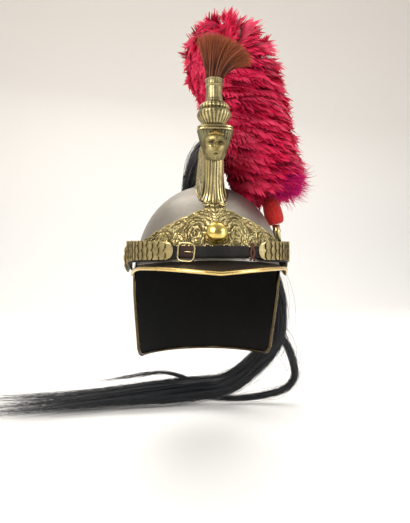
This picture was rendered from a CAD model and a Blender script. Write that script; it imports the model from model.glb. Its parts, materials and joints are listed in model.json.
# %% [markdown]
# # A cuirassier helmet
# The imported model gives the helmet's solids at their true size. This lesson keeps what is already
# right, smooths it, and gives it steel, brass and leather finishes. The parts that a solid can't show,
# such as feathers, horsehair and stamped relief, are built again in the same places.

import json
import math

import bmesh
import bpy
import numpy as np
from mathutils import Matrix, Vector

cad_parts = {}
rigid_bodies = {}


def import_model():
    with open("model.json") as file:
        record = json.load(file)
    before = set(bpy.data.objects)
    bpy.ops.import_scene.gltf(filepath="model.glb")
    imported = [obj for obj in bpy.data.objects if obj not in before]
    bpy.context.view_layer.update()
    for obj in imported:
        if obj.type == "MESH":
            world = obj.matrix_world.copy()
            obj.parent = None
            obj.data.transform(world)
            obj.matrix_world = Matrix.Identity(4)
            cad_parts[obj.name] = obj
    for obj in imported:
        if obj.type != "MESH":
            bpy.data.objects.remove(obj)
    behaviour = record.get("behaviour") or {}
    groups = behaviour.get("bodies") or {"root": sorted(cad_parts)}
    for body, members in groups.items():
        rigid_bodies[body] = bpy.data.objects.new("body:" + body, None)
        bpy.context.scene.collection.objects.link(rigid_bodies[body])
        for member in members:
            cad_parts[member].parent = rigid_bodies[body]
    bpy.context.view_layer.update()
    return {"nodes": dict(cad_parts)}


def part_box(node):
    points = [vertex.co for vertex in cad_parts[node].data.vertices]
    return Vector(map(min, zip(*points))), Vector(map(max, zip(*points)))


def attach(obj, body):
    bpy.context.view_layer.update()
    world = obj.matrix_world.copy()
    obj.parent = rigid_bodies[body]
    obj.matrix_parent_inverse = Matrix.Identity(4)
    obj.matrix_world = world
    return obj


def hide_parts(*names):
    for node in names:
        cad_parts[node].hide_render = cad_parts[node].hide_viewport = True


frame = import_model()

# %% [markdown]
# Blender works in metres. A helmet is easier to think of in millimetres, so the shapes below are worked
# out in millimetres and turned into metres once, when their mesh is made.

# %% Units and the sizes read from the frame
MM = 0.001
TURN = 2 * math.pi


def box_mm(node):
    """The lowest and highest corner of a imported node, in millimetres"""
    low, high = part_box(node)
    return np.array(low) / MM, np.array(high) / MM


HALF_WIDTH, HALF_LENGTH, SKULL_HEIGHT = box_mm("skull")[1]
FLOOR = box_mm("mane")[0][2]
COMB_TOP = box_mm("comb")[1][2]
print("skull", HALF_WIDTH, HALF_LENGTH, SKULL_HEIGHT, "floor", FLOOR)


# %% [markdown]
# The camera stands as the photographer did: level, just above the brow, half a metre away and a little
# to the wearer's right. The lens follows from how much a skull of known width fills of the picture.

# %% Camera
CAMERA_DISTANCE = 528
CAMERA_TURN = math.radians(5)
CAMERA_HEIGHT = 4.5
CAMERA_SHIFT = 3.2
FOCAL_PIXELS = 411
PICTURE_HEIGHT = 523
SENSOR = 36

ahead = np.array([math.sin(CAMERA_TURN), math.cos(CAMERA_TURN), 0])
rightwards = np.array([math.cos(CAMERA_TURN), -math.sin(CAMERA_TURN), 0])
camera_place = -CAMERA_DISTANCE * ahead - CAMERA_SHIFT * rightwards + np.array([0, 0, CAMERA_HEIGHT])

camera_data = bpy.data.cameras.new("camera")
camera_data.sensor_width = SENSOR
camera_data.lens = FOCAL_PIXELS / PICTURE_HEIGHT * SENSOR
camera_data.clip_start = 0.01
camera = bpy.data.objects.new("camera", camera_data)
bpy.context.scene.collection.objects.link(camera)
camera.location = Vector(camera_place * MM)
camera.rotation_euler = (math.pi / 2, 0, -CAMERA_TURN)
bpy.context.scene.camera = camera
print("lens", round(camera_data.lens, 2), "mm")


# %% [markdown]
# Small helpers write the node trees. `add` makes a node, `join` gives one of its inputs a plain value or
# links it to another node's output, and `feed` does that for several inputs by name.

# %% Helpers for node trees
def add(tree, kind, **settings):
    node = tree.nodes.new(kind)
    for name, value in settings.items():
        setattr(node, name, value)
    return node


def join(tree, value, socket):
    if isinstance(value, bpy.types.NodeSocket):
        tree.links.new(value, socket)
    else:
        socket.default_value = value


def feed(tree, node, **values):
    """Joins values to a node's inputs; a name's underscores stand for spaces"""
    for name, value in values.items():
        join(tree, value, node.inputs[name.replace("_", " ")])
    return node


def noise(tree, vector, scale, detail=4.0, roughness=0.55):
    node = add(tree, "ShaderNodeTexNoise")
    feed(tree, node, Vector=vector, Scale=scale, Detail=detail, Roughness=roughness)
    return node.outputs["Fac"]


def span(tree, value, low, high, to_low=0.0, to_high=1.0):
    """Maps one range of a value to another and clamps it"""
    node = add(tree, "ShaderNodeMapRange")
    feed(tree, node, Value=value, From_Min=low, From_Max=high, To_Min=to_low, To_Max=to_high)
    return node.outputs["Result"]


# A Mix node's places for the share and its two colours, and for the mixed colour
MIX_INPUTS = (0, 6, 7)
MIX_OUTPUT = 2


def mixed(tree, share, first, second):
    node = add(tree, "ShaderNodeMix", data_type="RGBA")
    for socket, value in zip(MIX_INPUTS, (share, first, second)):
        join(tree, value, node.inputs[socket])
    return node.outputs[MIX_OUTPUT]


def reckon(tree, operation, first, second):
    node = add(tree, "ShaderNodeMath", operation=operation)
    for socket, value in enumerate((first, second)):
        join(tree, value, node.inputs[socket])
    return node.outputs[0]


def colour(red, green, blue):
    return (red, green, blue, 1.0)


def group_tree(name, inputs, outputs, family="Shader"):
    """A node group with named sockets; an input's plain value may be None"""
    tree = bpy.data.node_groups.new(name, family + "NodeTree")
    for socket_name, kind, value in inputs:
        socket = tree.interface.new_socket(socket_name, in_out="INPUT", socket_type="NodeSocket" + kind)
        if value is not None:
            socket.default_value = value
    for socket_name, kind in outputs:
        tree.interface.new_socket(socket_name, in_out="OUTPUT", socket_type="NodeSocket" + kind)
    return tree, add(tree, "NodeGroupInput").outputs, add(tree, "NodeGroupOutput")


def use_group(tree, group, **values):
    node = add(tree, "ShaderNodeGroup", node_tree=group)
    return feed(tree, node, **values).outputs


def new_material(name, **plain):
    """A material with one Principled BSDF; plain values go on its own sockets"""
    material = bpy.data.materials.new(name)
    material.use_nodes = True
    tree = material.node_tree
    shader = tree.nodes["Principled BSDF"]
    feed(tree, shader, **plain)
    place = add(tree, "ShaderNodeTexCoord").outputs["Object"]
    return material, tree, shader, place


def bump(tree, shader, height, distance, strength=1.0):
    node = add(tree, "ShaderNodeBump")
    feed(tree, node, Height=height, Distance=distance * MM, Strength=strength)
    tree.links.new(node.outputs["Normal"], shader.inputs["Normal"])


# %% [markdown]
# Old brass is never one colour. The hollows keep a dark tarnish, the flats are dull olive, and the
# high places that hands and cloths rub are bright. `Relief` says how high a spot stands. It comes from
# the piece's own relief where it has one, and from the mesh's edges elsewhere. All the brasses share
# this one group.

# %% Tarnish group
# Noise mostly lies between these two values
NOISE_LOW = 0.3
NOISE_HIGH = 0.7
PATCHES = 0.22
SPECKS = 0.12
SPECK_FINENESS = 6.0
TARNISHED_ROUGHNESS = 0.55
RUBBED_ROUGHNESS = 0.24


def tarnish_group():
    inputs = [
        ("Vector", "Vector", None), ("Relief", "Float", 0.5), ("Scale", "Float", 120.0),
        ("Bright", "Color", colour(0.9, 0.7, 0.35)), ("Middle", "Color", colour(0.5, 0.4, 0.2)),
        ("Deep", "Color", colour(0.1, 0.08, 0.05)), ("Patina", "Float", 0.3),
        ("Patina Color", "Color", colour(0.2, 0.3, 0.2)),
    ]
    tree, given, result = group_tree("tarnish", inputs, [("Color", "Color"), ("Roughness", "Float")])
    broad = noise(tree, given["Vector"], given["Scale"])
    fine = noise(tree, given["Vector"], reckon(tree, "MULTIPLY", given["Scale"], SPECK_FINENESS), 5.0)
    uneven = given["Relief"]
    for pattern, strength in ((broad, PATCHES), (fine, SPECKS)):
        uneven = reckon(tree, "ADD", uneven, span(tree, pattern, NOISE_LOW, NOISE_HIGH, -strength, strength))
    tone = mixed(tree, span(tree, uneven, 0.05, 0.5), given["Deep"], given["Middle"])
    tone = mixed(tree, span(tree, uneven, 0.5, 0.95), tone, given["Bright"])
    green = reckon(tree, "MULTIPLY", span(tree, broad, 0.52, NOISE_HIGH), given["Patina"])
    tone = mixed(tree, green, tone, given["Patina Color"])
    rough = span(tree, uneven, 0.1, 0.95, TARNISHED_ROUGHNESS, RUBBED_ROUGHNESS)
    feed(tree, result, Color=tone, Roughness=rough)
    return tree


TARNISH = tarnish_group()


# %% [markdown]
# Rubbed metal, wool and leather all show a fine grain. This group gives one as a height, stretched
# along any axis: a long stretch makes brushed scratches, an even one makes a pebbled leather.

# %% Grain group
def grain_group():
    inputs = [("Vector", "Vector", None), ("Scale", "Float", 300.0), ("Stretch", "Vector", (1.0, 1.0, 1.0))]
    tree, given, result = group_tree("grain", inputs, [("Height", "Float"), ("Mask", "Float")])
    stretched = add(tree, "ShaderNodeVectorMath", operation="MULTIPLY")
    for socket, name in enumerate(("Vector", "Stretch")):
        join(tree, given[name], stretched.inputs[socket])
    fine = noise(tree, stretched.outputs[0], given["Scale"], 6.0, 0.7)
    feed(tree, result, Height=fine, Mask=span(tree, fine, 0.45, 0.62))
    return tree


GRAIN = grain_group()

# %% [markdown]
# The steel was raised by hand and polished to a satin, so its reflections are soft. Fine scratches run
# round it, and faint handling stains change its gloss more than its colour. The visor's steel has gone
# dark with wear, so it is the same material with darker tones.

# %% Steel
STEEL_TONES = {
    "steel": (colour(0.365, 0.335, 0.29), colour(0.25, 0.225, 0.19)),
    "worn_steel": (colour(0.10, 0.082, 0.066), colour(0.05, 0.041, 0.033)),
}
# The roughness of clean and of stained steel
STEEL_ROUGHNESS = (0.38, 0.5)
SCRATCH_STRETCH = (1.0, 1.0, 9.0)


def steel_material(name):
    material, tree, shader, place = new_material(name, Metallic=1.0)
    stains = noise(tree, place, 22.0, 6.0, 0.62)
    scratches = use_group(tree, GRAIN, Vector=place, Scale=90.0, Stretch=SCRATCH_STRETCH)
    tone = mixed(tree, span(tree, stains, 0.35, 0.72), *STEEL_TONES[name])
    feed(tree, shader, Base_Color=tone, Roughness=span(tree, stains, NOISE_LOW, 0.75, *STEEL_ROUGHNESS))
    bump(tree, shader, scratches["Height"], 0.05, 0.6)
    return material


STEEL = steel_material("steel")
WORN_STEEL = steel_material("worn_steel")

# %% [markdown]
# Six brasses share the tarnish group: the stamped brass of the plate, the panels, the mask and the
# rosettes, the darker castings of the comb and the tuft's holder, the brass of the chin scales and the
# buckle, the visor's warm rubbed binding, the neck guard's blackened one, and the ball of the grenade,
# which is polished bright. Stamped and cast pieces bring their own relief, and the others are rubbed
# bright at their edges.

# %% The brasses
BRASSES = {
    "stamped_brass": {
        "Bright": colour(0.68, 0.545, 0.25),
        "Middle": colour(0.37, 0.295, 0.135),
        "Deep": colour(0.12, 0.095, 0.045),
        "Patina": 0.35, "Patina_Color": colour(0.20, 0.24, 0.13), "Scale": 60.0, "worn_by": "relief",
    },
    "column_brass": {
        "Bright": colour(0.58, 0.47, 0.22),
        "Middle": colour(0.23, 0.19, 0.095),
        "Deep": colour(0.04, 0.034, 0.02),
        "Patina": 0.45, "Patina_Color": colour(0.12, 0.15, 0.10), "Scale": 45.0, "worn_by": "relief",
    },
    "scale_brass": {
        "Bright": colour(0.60, 0.49, 0.235),
        "Middle": colour(0.30, 0.24, 0.11),
        "Deep": colour(0.035, 0.027, 0.013),
        "Patina": 0.3, "Patina_Color": colour(0.24, 0.24, 0.12), "Scale": 80.0, "worn_by": "edges",
    },
    "rim_brass": {
        "Bright": colour(0.74, 0.53, 0.20),
        "Middle": colour(0.36, 0.245, 0.085),
        "Deep": colour(0.10, 0.06, 0.025),
        "Patina": 0.15, "Patina_Color": colour(0.3, 0.2, 0.1), "Scale": 70.0, "worn_by": "edges",
    },
    "dark_brass": {
        "Bright": colour(0.11, 0.078, 0.035),
        "Middle": colour(0.045, 0.034, 0.02),
        "Deep": colour(0.02, 0.016, 0.01),
        "Patina": 0.5, "Patina_Color": colour(0.06, 0.07, 0.05), "Scale": 60.0, "worn_by": "edges",
    },
    "ball_brass": {
        "Bright": colour(0.80, 0.63, 0.21),
        "Middle": colour(0.64, 0.49, 0.14),
        "Deep": colour(0.4, 0.26, 0.07),
        "Patina": 0.05, "Patina_Color": colour(0.5, 0.4, 0.1), "Scale": 90.0, "worn_by": "edges",
    },
}
BALL_ROUGHNESS = 0.24


def without(settings, key):
    return {name: value for name, value in settings.items() if name != key}


def brass_material(name, settings):
    material, tree, shader, place = new_material(name, Metallic=1.0)
    if settings["worn_by"] == "relief":
        relief = add(tree, "ShaderNodeAttribute", attribute_name="relief").outputs["Fac"]
    else:
        pointed = add(tree, "ShaderNodeNewGeometry").outputs["Pointiness"]
        relief = span(tree, pointed, 0.42, 0.58)
    aged = use_group(tree, TARNISH, Vector=place, Relief=relief, **without(settings, "worn_by"))
    rough = BALL_ROUGHNESS if name == "ball_brass" else aged["Roughness"]
    feed(tree, shader, Base_Color=aged["Color"], Roughness=rough)
    grain = use_group(tree, GRAIN, Vector=place, Scale=700.0)
    bump(tree, shader, grain["Height"], 0.06, 0.5)
    return material


brass = {name: brass_material(name, settings) for name, settings in BRASSES.items()}
print("brasses", sorted(brass))


# %% [markdown]
# The strap is old black leather with a low sheen and a fine grain, worn to brown where it passes the
# buckle, and the laces at its end are a bare red-brown. The lining inside the steel is nearly black. Wool
# has no gloss, but its edges catch light, which sheen gives.

# %% Leather and wool
LEATHER_ROUGHER = 0.18


def leather_material(name, dark, light, rough):
    material, tree, shader, place = new_material(name, Specular_IOR_Level=0.22)
    grain = use_group(tree, GRAIN, Vector=place, Scale=420.0)
    broad = noise(tree, place, 50.0)
    tone = mixed(tree, span(tree, broad, 0.4, 0.75), dark, light)
    dull = span(tree, broad, NOISE_LOW, NOISE_HIGH, rough, rough + LEATHER_ROUGHER)
    feed(tree, shader, Base_Color=tone, Roughness=dull)
    bump(tree, shader, grain["Height"], 0.35)
    return material


LEATHER = leather_material("leather", colour(0.006, 0.0055, 0.005), colour(0.020, 0.017, 0.015), 0.62)
WORN_LEATHER = leather_material("worn_leather", colour(0.022, 0.010, 0.008), colour(0.055, 0.024, 0.017), 0.6)
LINING = leather_material("lining", colour(0.003, 0.003, 0.003), colour(0.007, 0.006, 0.006), 0.8)
THONG = leather_material("thong_leather", colour(0.04, 0.013, 0.009), colour(0.11, 0.042, 0.026), 0.6)


def wool_material():
    material, tree, shader, place = new_material(
        "wool", Roughness=0.95, Sheen_Weight=0.6, Sheen_Roughness=0.4, Sheen_Tint=colour(1.0, 0.35, 0.3),
    )
    grain = use_group(tree, GRAIN, Vector=place, Scale=900.0)
    tone = mixed(tree, grain["Mask"], colour(0.36, 0.004, 0.006), colour(0.68, 0.03, 0.02))
    feed(tree, shader, Base_Color=tone)
    bump(tree, shader, grain["Height"], 0.9)
    return material


WOOL = wool_material()


# %% [markdown]
# Hair and feathers are strips with two attributes of their own: `along`, from 0 at the root to 1 at
# the tip, and `tint`, one random number for each strip. One group turns both into a colour.

# %% Strand group and the fibre materials
def strand_group():
    inputs = [
        ("Root", "Color", colour(0, 0, 0)), ("Tip", "Color", colour(1, 1, 1)),
        ("Light", "Color", colour(1, 1, 1)), ("Tint Share", "Float", 0.4), ("Tip Start", "Float", 0.3),
    ]
    tree, given, result = group_tree("strand", inputs, [("Color", "Color")])
    along = add(tree, "ShaderNodeAttribute", attribute_name="along").outputs["Fac"]
    tint = add(tree, "ShaderNodeAttribute", attribute_name="tint").outputs["Fac"]
    lower = span(tree, along, given["Tip Start"], 1.0)
    tone = mixed(tree, lower, given["Root"], given["Tip"])
    lift = reckon(tree, "MULTIPLY", span(tree, tint, 0.35, 1.0), given["Tint Share"])
    feed(tree, result, Color=mixed(tree, lift, tone, given["Light"]))
    return tree


STRAND = strand_group()
FIBRES = {
    "feather_vane": {
        "Root": colour(0.17, 0.0, 0.014),
        "Tip": colour(0.76, 0.006, 0.068),
        "Light": colour(0.95, 0.07, 0.17),
        "Tint_Share": 0.62, "Tip_Start": 0.15, "plain": {"Roughness": 0.6, "Specular_IOR_Level": 0.25},
    },
    "feather_down": {
        "Root": colour(0.34, 0.0, 0.075),
        "Tip": colour(0.55, 0.004, 0.15),
        "Light": colour(0.70, 0.03, 0.25),
        "Tint_Share": 0.6, "Tip_Start": 0.0, "plain": {"Roughness": 0.8, "Specular_IOR_Level": 0.2},
    },
    "tuft_hair": {
        "Root": colour(0.022, 0.005, 0.003),
        "Tip": colour(0.25, 0.055, 0.017),
        "Light": colour(0.42, 0.115, 0.036),
        "Tint_Share": 0.7, "Tip_Start": 0.3, "plain": {"Roughness": 0.6, "Specular_IOR_Level": 0.3},
    },
    "mane_hair": {
        "Root": colour(0.005, 0.0055, 0.007),
        "Tip": colour(0.007, 0.008, 0.010),
        "Light": colour(0.028, 0.033, 0.042),
        "Tint_Share": 0.8, "Tip_Start": 0.4, "plain": {"Roughness": 0.38},
    },
}


def fibre_material(name, settings):
    material, tree, shader, _ = new_material(name, **settings["plain"])
    feed(tree, shader, Base_Color=use_group(tree, STRAND, **without(settings, "plain"))["Color"])
    return material


fibre = {name: fibre_material(name, settings) for name, settings in FIBRES.items()}


# %% [markdown]
# Every new piece goes through the same steps: a mesh in metres, smooth faces, a material, and then
# the frame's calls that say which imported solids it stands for.

# %% Helpers for pieces
SMOOTH_ANGLE = math.radians(38)


def link(mesh, name):
    piece = bpy.data.objects.new(name, mesh)
    bpy.context.scene.collection.objects.link(piece)
    return piece


def mesh_of(name, points, faces, outward=True):
    """A mesh from points in millimetres; a closed one has its faces turned outwards"""
    mesh = bpy.data.meshes.new(name)
    mesh.from_pydata((np.asarray(points, float) * MM).tolist(), [], [list(map(int, f)) for f in faces])
    if outward:
        work = bmesh.new()
        work.from_mesh(mesh)
        bmesh.ops.recalc_face_normals(work, faces=work.faces)
        work.to_mesh(mesh)
        work.free()
    mesh.shade_smooth()
    mesh.set_sharp_from_angle(angle=SMOOTH_ANGLE)
    return mesh


def dress(piece, material, nodes=()):
    piece.data.materials.clear()
    piece.data.materials.append(material)
    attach(piece, "root")
    if nodes:
        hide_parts(*nodes)
    triangles = sum(len(face.vertices) - 2 for face in piece.data.polygons)
    print(piece.name, triangles, "triangles")
    return piece


def give(mesh, name, values):
    """Stores one number for each point of a mesh"""
    attribute = mesh.attributes.new(name, "FLOAT", "POINT")
    attribute.data.foreach_set("value", np.asarray(values, np.float32).ravel())


def grid_faces(rows, columns, start=0, loop=False):
    """Quads over a grid of points, rows by columns; loop joins the last column to the first"""
    across = columns if loop else columns - 1
    row, column = np.meshgrid(np.arange(rows - 1) * columns, np.arange(across), indexing="ij")
    beside = (column + 1) % columns
    quads = [row + column, row + beside, row + columns + beside, row + columns + column]
    return (np.stack(quads, -1).reshape(-1, 4) + start).tolist()


def wall_mesh(name, front, back):
    """A closed wall between two grids of points of the same size"""
    rows, columns = front.shape[:2]
    count = rows * columns
    faces = grid_faces(rows, columns) + [face[::-1] for face in grid_faces(rows, columns, count)]
    order = np.arange(count).reshape(rows, columns)
    border = np.concatenate([order[0, :-1], order[:-1, -1], order[-1, :0:-1], order[:0:-1, 0]])
    following = np.roll(border, -1)
    faces += np.stack([border, border + count, following + count, following], -1).tolist()
    return mesh_of(name, np.concatenate([front.reshape(-1, 3), back.reshape(-1, 3)]), faces)


def tube_mesh(name, rings):
    """A closed solid skinned over rings of points, capped at both ends"""
    rings = np.asarray(rings)
    rows, columns = rings.shape[:2]
    points = np.concatenate([rings.reshape(-1, 3), [rings[0].mean(0)], [rings[-1].mean(0)]])
    faces = grid_faces(rows, columns, loop=True)
    last = (rows - 1) * columns
    for i in range(columns):
        beside = (i + 1) % columns
        faces.append([beside, i, rows * columns])
        faces.append([last + i, last + beside, rows * columns + 1])
    return mesh_of(name, points, faces)


# %% [markdown]
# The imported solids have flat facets. Where a solid's shape is right, a copy of it with its doubled
# corners merged can be smoothed, and a narrow bevel gives its edges the thin highlight that real
# sheet metal shows. The copy stands for the solid, which isn't touched.

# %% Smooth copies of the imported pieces
MERGE_DISTANCE = 0.01
LINED_COSINE = 0.25


def merged_mesh(name, nodes):
    work = bmesh.new()
    for node in nodes:
        work.from_mesh(frame["nodes"][node].data)
    bmesh.ops.remove_doubles(work, verts=work.verts, dist=MM * MERGE_DISTANCE)
    mesh = bpy.data.meshes.new(name)
    work.to_mesh(mesh)
    work.free()
    return mesh


def smooth_copy(name, nodes, material, edge=0.0, sharp=32):
    mesh = merged_mesh(name, nodes)
    mesh.shade_smooth()
    mesh.set_sharp_from_angle(angle=math.radians(sharp))
    piece = link(mesh, name)
    if edge:
        bevel = piece.modifiers.new("edge", "BEVEL")
        bevel.width = edge * MM
        bevel.segments = 2
        bevel.angle_limit = math.radians(sharp)
        bevel.harden_normals = True
    return dress(piece, material, nodes)


def line_inside(piece, towards):
    """Gives the faces that look at a place inside the helmet the dark lining"""
    piece.data.materials.append(LINING)
    for face in piece.data.polygons:
        inwards = Vector(towards) * MM - face.center
        if face.normal.dot(inwards) > LINED_COSINE * inwards.length:
            face.material_index = 1
    return piece


smooth_copy("visor_sheet", ["visor"], WORN_STEEL)
smooth_copy("visor_binding", ["visor_rim"], brass["rim_brass"], sharp=50)
line_inside(smooth_copy("neck_guard_sheet", ["neck_guard"], STEEL), (0, 20, -50))
smooth_copy("neck_guard_binding", ["neck_guard_rim"], brass["dark_brass"], sharp=50)
smooth_copy("buckle_wire", ["buckle_frame"], brass["scale_brass"], sharp=70)
smooth_copy("buckle_prong", ["buckle_tongue"], brass["scale_brass"], sharp=70)
smooth_copy("plume_tube", ["plume_socket"], brass["scale_brass"])
for side in ("left", "right"):
    smooth_copy("post_" + side, ["rosette_post_" + side], brass["column_brass"])
    rows = sorted(node for node in frame["nodes"] if node.startswith("scale_" + side))
    smooth_copy("chin_scales_" + side, rows, brass["scale_brass"], edge=0.22)


# %% [markdown]
# The skull is half an ellipsoid, so it can be drawn finely from the frame's own sizes. `on_skull` gives
# a point on it at a turn from the brow and a height, and every piece that lies on the steel uses it.

# %% Skull
SKULL_WALL = 1.4
SKULL_COLUMNS = 160
SKULL_ROWS = 40


def on_skull(turn, height, lift=0.0):
    """Points at a turn in radians from the brow, a height and a lift in millimetres"""
    turn, height, lift = np.broadcast_arrays(turn, height, lift)
    rise = np.arcsin(np.clip(height / SKULL_HEIGHT, -1, 1))
    point = np.stack([
        HALF_WIDTH * np.cos(rise) * np.sin(turn),
        -HALF_LENGTH * np.cos(rise) * np.cos(turn),
        SKULL_HEIGHT * np.sin(rise),
    ], -1)
    normal = point / np.array([HALF_WIDTH, HALF_LENGTH, SKULL_HEIGHT]) ** 2
    normal /= np.linalg.norm(normal, axis=-1, keepdims=True)
    return point + normal * lift[..., None]


def dome(lift):
    """Rings of the dome from the rim to just short of the crown"""
    rise = np.linspace(0, math.pi / 2, SKULL_ROWS + 1)[:-1]
    turn = np.arange(SKULL_COLUMNS) / SKULL_COLUMNS * TURN
    rings = []
    for angle in rise:
        rings.append(np.stack([
            (HALF_WIDTH + lift) * math.cos(angle) * np.sin(turn),
            -(HALF_LENGTH + lift) * math.cos(angle) * np.cos(turn),
            np.full(SKULL_COLUMNS, (SKULL_HEIGHT + lift) * math.sin(angle)),
        ], -1))
    return np.array(rings)


def skull_mesh():
    outer, inner = dome(0.0), dome(-SKULL_WALL)
    count = outer.shape[0] * outer.shape[1]
    crown = [[0, 0, SKULL_HEIGHT], [0, 0, SKULL_HEIGHT - SKULL_WALL]]
    points = np.concatenate([outer.reshape(-1, 3), inner.reshape(-1, 3), crown])
    faces = grid_faces(SKULL_ROWS, SKULL_COLUMNS, loop=True)
    faces += [face[::-1] for face in grid_faces(SKULL_ROWS, SKULL_COLUMNS, count, loop=True)]
    top = (SKULL_ROWS - 1) * SKULL_COLUMNS
    for i in range(SKULL_COLUMNS):
        beside = (i + 1) % SKULL_COLUMNS
        faces.append([top + i, top + beside, 2 * count])
        faces.append([count + top + beside, count + top + i, 2 * count + 1])
        faces.append([beside, i, count + i, count + beside])
    return mesh_of("skull_dome", points, faces)


line_inside(dress(link(skull_mesh(), "skull_dome"), STEEL, ["skull"]), (0, 0, 0))


# %% [markdown]
# The front plate is thin brass stamped with scrolling leaves, and the flames of a grenade stand over
# its ball. A stamp's relief is a height over a flat sheet, so it is drawn as one: each stem, leaf vein
# and flame is a stroke with a width and a rise, and the sheet takes the highest stroke at each point.

# %% Strokes of the relief
PLATE_BOTTOM = box_mm("front_plate")[0][2]
PLATE_TOP = 65.0
PLATE_SLOPE = 0.61
PLATE_HALF_TURN = 76
PLATE_SEAT = 1.2
PLATE_WALL = 1.2
SCALLOPS = 7
SCALLOP_RISE = 1.6
LEAF_RISE = 6.0
LEAF_SPREAD = 7.0
BALL_RISE = 33.0
BALL_RADIUS = 11.4


def plate_top(turn):
    """Height of the plate's upper edge; it steps down in scallops from a leaf in the middle"""
    degrees = np.degrees(np.abs(turn))
    scallop = SCALLOP_RISE * np.abs(np.sin(degrees / PLATE_HALF_TURN * SCALLOPS * math.pi))
    return PLATE_TOP - PLATE_SLOPE * degrees + scallop + LEAF_RISE * np.exp(-((degrees / LEAF_SPREAD) ** 2))


def bezier(start, pull, end, steps):
    """A curve from start to end, drawn towards pull"""
    share = np.linspace(0, 1, steps)[:, None]
    start, pull, end = (np.asarray(p, float) for p in (start, pull, end))
    return (1 - share) ** 2 * start + 2 * share * (1 - share) * pull + share ** 2 * end


def stroke(path, width, rise, taper):
    """A path with widths and rises that thin out towards its end"""
    share = np.linspace(0, 1, len(path))
    fade = 1 - (1 - taper) * share ** 1.5
    return np.asarray(path), width * fade, rise * (0.35 + 0.65 * fade)


# Each scroll: how far round and up the plate its middle lies, its radius and the way that it winds
SCROLL_CENTRES = [
    (26, 35, 9.0, -1), (48, 22, 8.0, 1), (72, 26, 7.8, -1), (98, 16, 6.0, 1), (124, 14, 4.5, -1),
]
STEM_STEPS = 46
STEM_WIDTH = 1.0
STEM_RISE = 1.15
LEAF_STEPS = 9
LEAF_TAPER = 0.2
LEAF_LENGTHS = (7.5, 12)
LEAF_JITTER = 1.3
SCROLL_PULL = 3.2
SCROLL_SHELL = 0.75


def scroll_stem(centre_around, centre_up, radius, wind):
    """A stem that winds in to a bud"""
    share = np.linspace(0, 1, STEM_STEPS)
    angle = wind * share * 1.5 * TURN + math.pi / 2
    reach = radius * (1 - 0.85 * share)
    path = np.stack([centre_around + reach * np.cos(angle), centre_up + reach * np.sin(angle)], -1)
    return stroke(path, STEM_WIDTH, STEM_RISE, 0.8)


def flow(place, centres):
    """The way a leaf grows at a place: outwards from the middle, turned round the scrolls"""
    way = np.array([1.0, -0.25 + 0.9 * math.exp(-place[0] / 16)])
    for around, up, radius, wind in centres:
        apart = place - np.array([around, up])
        distance = np.linalg.norm(apart) + 0.1
        pull = SCROLL_PULL * math.exp(-((distance - radius) / (SCROLL_SHELL * radius)) ** 2)
        way = way + pull * wind * np.array([-apart[1], apart[0]]) / distance
    return way / np.linalg.norm(way)


def leaf_stroke(start, length, width, rise, centres):
    path = [np.array(start, float)]
    for _ in range(LEAF_STEPS):
        path.append(path[-1] + flow(path[-1], centres) * length / LEAF_STEPS)
    return stroke(np.array(path), width, rise, LEAF_TAPER)


def foliage(seed, centres, columns, rows_at, widths, rises):
    """Stems and leaves over a sheet; rows_at gives the heights of the leaves in a column"""
    draw = np.random.default_rng(seed)
    strokes = [scroll_stem(*centre) for centre in centres]
    for column in columns:
        for up in rows_at(column):
            start = np.array([column, up]) + draw.uniform(-LEAF_JITTER, LEAF_JITTER, 2)
            length, width, rise = draw.uniform(*LEAF_LENGTHS), draw.uniform(*widths), draw.uniform(*rises)
            strokes.append(leaf_stroke(start, length, width, rise, centres))
    return strokes


# %% Leaves and flames of the plate
PLATE_SEED = 3
PLATE_LEAF_SPACING = (3.7, 3.7 * 0.8)
PLATE_LEAVES_END = 138
FLAMES = 8
FLAME_LENGTH = 24
FLAME_SHORTER = 1.9
FLAME_WIDTH = 1.5
FLAME_RISE = 1.8


def plate_leaf_rows(around):
    top = float(plate_top(around / HALF_LENGTH))
    return np.arange(PLATE_BOTTOM + 2.5, top - 2.0, PLATE_LEAF_SPACING[1])


def plate_strokes():
    """The strokes of one half of the plate, in millimetres round and up it"""
    columns = np.arange(1.5, PLATE_LEAVES_END, PLATE_LEAF_SPACING[0])
    strokes = foliage(PLATE_SEED, SCROLL_CENTRES, columns, plate_leaf_rows, (0.7, 1.0), (1.0, 1.6))
    for k in range(FLAMES):
        lean = 0.1 + k * 0.19
        out = np.array([math.sin(lean), math.cos(lean)])
        start = np.array([0, BALL_RISE]) + out * BALL_RADIUS * 0.9
        length = FLAME_LENGTH - FLAME_SHORTER * k
        bend = np.array([out[1], -out[0]]) * (3.5 if k % 2 else -3)
        flame = bezier(start, start + out * length * 0.5 + bend, start + out * length, 12)
        strokes.append(stroke(flame, FLAME_WIDTH, FLAME_RISE, 0.15))
    print("strokes on half of the plate", len(strokes))
    return strokes


def relief_over(around, up, strokes):
    """Height of the strokes over a grid of places, mirrored left to right"""
    places = np.stack([np.abs(around).ravel(), up.ravel()], -1)
    height = np.zeros(len(places))
    for path, width, rise in strokes:
        reach = width.max()
        near = np.all((places > path.min(0) - reach) & (places < path.max(0) + reach), axis=1)
        found = np.nonzero(near)[0]
        if not len(found):
            continue
        apart = np.linalg.norm(places[found, None] - path[None], axis=2) / width
        nearest = apart.argmin(1)
        share = np.clip(1 - apart[np.arange(len(found)), nearest] ** 2, 0, 1)
        height[found] = np.maximum(height[found], rise[nearest] * np.sqrt(share))
    return height.reshape(around.shape)


# %% Front plate
PLATE_COLUMNS = 340
PLATE_ROWS = 74
BORDER_WIDTH = 1.0
BORDER_RISE = 1.1
FULL_RELIEF = 1.7


def marked_wall(name, front, back, mark):
    """A wall whose front carries its relief as a number for the tarnish, and whose back carries none"""
    mesh = wall_mesh(name, front, back)
    give(mesh, "relief", np.concatenate([mark.ravel(), 0 * mark.ravel()]))
    return mesh


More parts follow.
